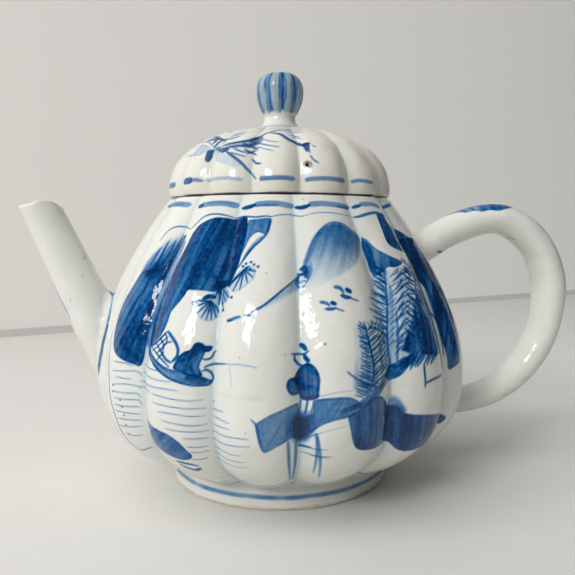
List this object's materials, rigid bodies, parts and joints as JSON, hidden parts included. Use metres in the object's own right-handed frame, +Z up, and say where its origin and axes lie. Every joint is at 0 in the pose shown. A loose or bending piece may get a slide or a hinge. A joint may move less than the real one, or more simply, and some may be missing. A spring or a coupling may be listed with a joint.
{
  "type": "teapot",
  "caption": "Lobed porcelain teapot with a straight spout, a loop handle and a domed lid that lifts off by its ribbed knob.",
  "frame": {"origin": "centre of the foot ring on the surface the teapot stands on", "axes": "+Z up, +X from the spout towards the handle, -Y towards the front of the painted scene"},
  "size_m": [0.1885, 0.1212, 0.1353],
  "materials": {
    "glazed_porcelain": "glossy clear glaze with underglaze blue painting",
    "bare_porcelain": "unglazed, cream to tan, dry"
  },
  "bodies": {
    "pot": {"body_lower": "glazed_porcelain", "body_upper": "glazed_porcelain", "foot_ring": "glazed_porcelain", "spout": "glazed_porcelain", "handle": "glazed_porcelain"},
    "lid": {"lid_dome": "glazed_porcelain", "lid_flange": "bare_porcelain", "lid_knob": "glazed_porcelain"}
  },
  "joints": [
    {"name": "lid_lift", "type": "slide", "parent": "pot", "child": "lid", "axis": [0, 0, 1], "range_m": [0, 0.06]}
  ]
}
